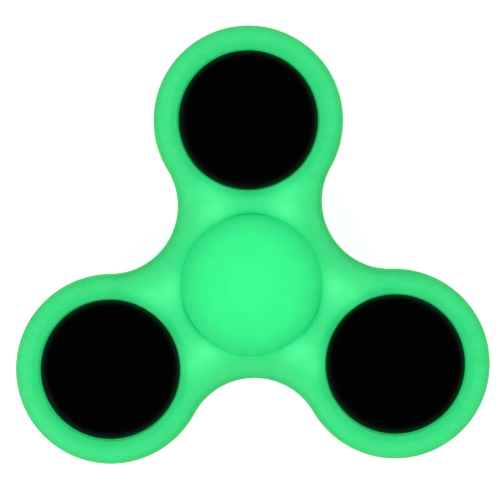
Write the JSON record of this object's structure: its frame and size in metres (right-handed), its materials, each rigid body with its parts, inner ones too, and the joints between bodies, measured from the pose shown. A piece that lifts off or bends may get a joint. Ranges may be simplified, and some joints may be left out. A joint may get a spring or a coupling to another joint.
{
  "type": "fidget spinner",
  "caption": "Three-lobed hand spinner: glowing green moulded body with black disc weights, turning on a ball bearing between two round finger caps.",
  "frame": {"origin": "centre of the bearing: on the spin axis, in the middle plane of the body", "axes": "+Z along the spin axis towards the front cap, +Y towards one lobe, +X to the right with the front facing the viewer and that lobe up"},
  "size_m": [0.0752, 0.0692, 0.0128],
  "materials": {
    "glow_body": "satin-gloss translucent moulded plastic with a phosphorescent green glow",
    "glow_cap": "satin-gloss translucent moulded plastic, a little brighter than the body",
    "black_steel": "deep black gloss finish on steel, rounded rim",
    "race_steel": "ground and superfinished bearing steel",
    "ball_steel": "mirror-polished bearing balls",
    "cage_steel": "stamped mild steel strip, dull",
    "shield_steel": "thin pressed steel, fine turning marks",
    "wire_steel": "drawn spring wire"
  },
  "bodies": {
    "hub": {"front_cap": "glow_cap", "back_cap": "glow_cap", "bearing_inner_ring": "race_steel"},
    "rotor": {"spinner_body": "glow_body", "counterweight_top": "black_steel", "counterweight_left": "black_steel", "counterweight_right": "black_steel", "bearing_outer_ring": "race_steel", "front_shield": "shield_steel", "back_shield": "shield_steel", "front_snap_ring": "wire_steel", "back_snap_ring": "wire_steel"},
    "cage": {"cage_front_half": "cage_steel", "cage_back_half": "cage_steel", "cage_rivet_1": "cage_steel", "cage_rivet_2": "cage_steel", "cage_rivet_3": "cage_steel", "cage_rivet_4": "cage_steel", "cage_rivet_5": "cage_steel", "cage_rivet_6": "cage_steel", "cage_rivet_7": "cage_steel"},
    "ball_1": {"bearing_ball_1": "ball_steel"},
    "ball_2": {"bearing_ball_2": "ball_steel"},
    "ball_3": {"bearing_ball_3": "ball_steel"},
    "ball_4": {"bearing_ball_4": "ball_steel"},
    "ball_5": {"bearing_ball_5": "ball_steel"},
    "ball_6": {"bearing_ball_6": "ball_steel"},
    "ball_7": {"bearing_ball_7": "ball_steel"}
  },
  "joints": [
    {"name": "spin", "type": "hinge", "parent": "hub", "child": "rotor", "pos_m": [0, 0, 0], "axis": [0, 0, 1], "continuous": true},
    {"name": "cage_orbit", "type": "hinge", "parent": "hub", "child": "cage", "pos_m": [0, 0, 0], "axis": [0, 0, 1], "continuous": true},
    {"name": "ball_1_spin", "type": "hinge", "parent": "cage", "child": "ball_1", "pos_m": [0, 0.0075, 0], "axis": [0, 0, 1], "continuous": true},
    {"name": "ball_2_spin", "type": "hinge", "parent": "cage", "child": "ball_2", "pos_m": [-0.00586, 0.00468, 0], "axis": [0, 0, 1], "continuous": true},
    {"name": "ball_3_spin", "type": "hinge", "parent": "cage", "child": "ball_3", "pos_m": [-0.00731, -0.00167, 0], "axis": [0, 0, 1], "continuous": true},
    {"name": "ball_4_spin", "type": "hinge", "parent": "cage", "child": "ball_4", "pos_m": [-0.00325, -0.00676, 0], "axis": [0, 0, 1], "continuous": true},
    {"name": "ball_5_spin", "type": "hinge", "parent": "cage", "child": "ball_5", "pos_m": [0.00325, -0.00676, 0], "axis": [0, 0, 1], "continuous": true},
    {"name": "ball_6_spin", "type": "hinge", "parent": "cage", "child": "ball_6", "pos_m": [0.00731, -0.00167, 0], "axis": [0, 0, 1], "continuous": true},
    {"name": "ball_7_spin", "type": "hinge", "parent": "cage", "child": "ball_7", "pos_m": [0.00586, 0.00468, 0], "axis": [0, 0, 1], "continuous": true}
  ],
  "couplings": [
    {"joint": "cage_orbit", "follows": "spin", "ratio": 0.6323},
    {"joint": "ball_1_spin", "follows": "spin", "ratio": 1.7573},
    {"joint": "ball_2_spin", "follows": "spin", "ratio": 1.7573},
    {"joint": "ball_3_spin", "follows": "spin", "ratio": 1.7573},
    {"joint": "ball_4_spin", "follows": "spin", "ratio": 1.7573},
    {"joint": "ball_5_spin", "follows": "spin", "ratio": 1.7573},
    {"joint": "ball_6_spin", "follows": "spin", "ratio": 1.7573},
    {"joint": "ball_7_spin", "follows": "spin", "ratio": 1.7573}
  ]
}
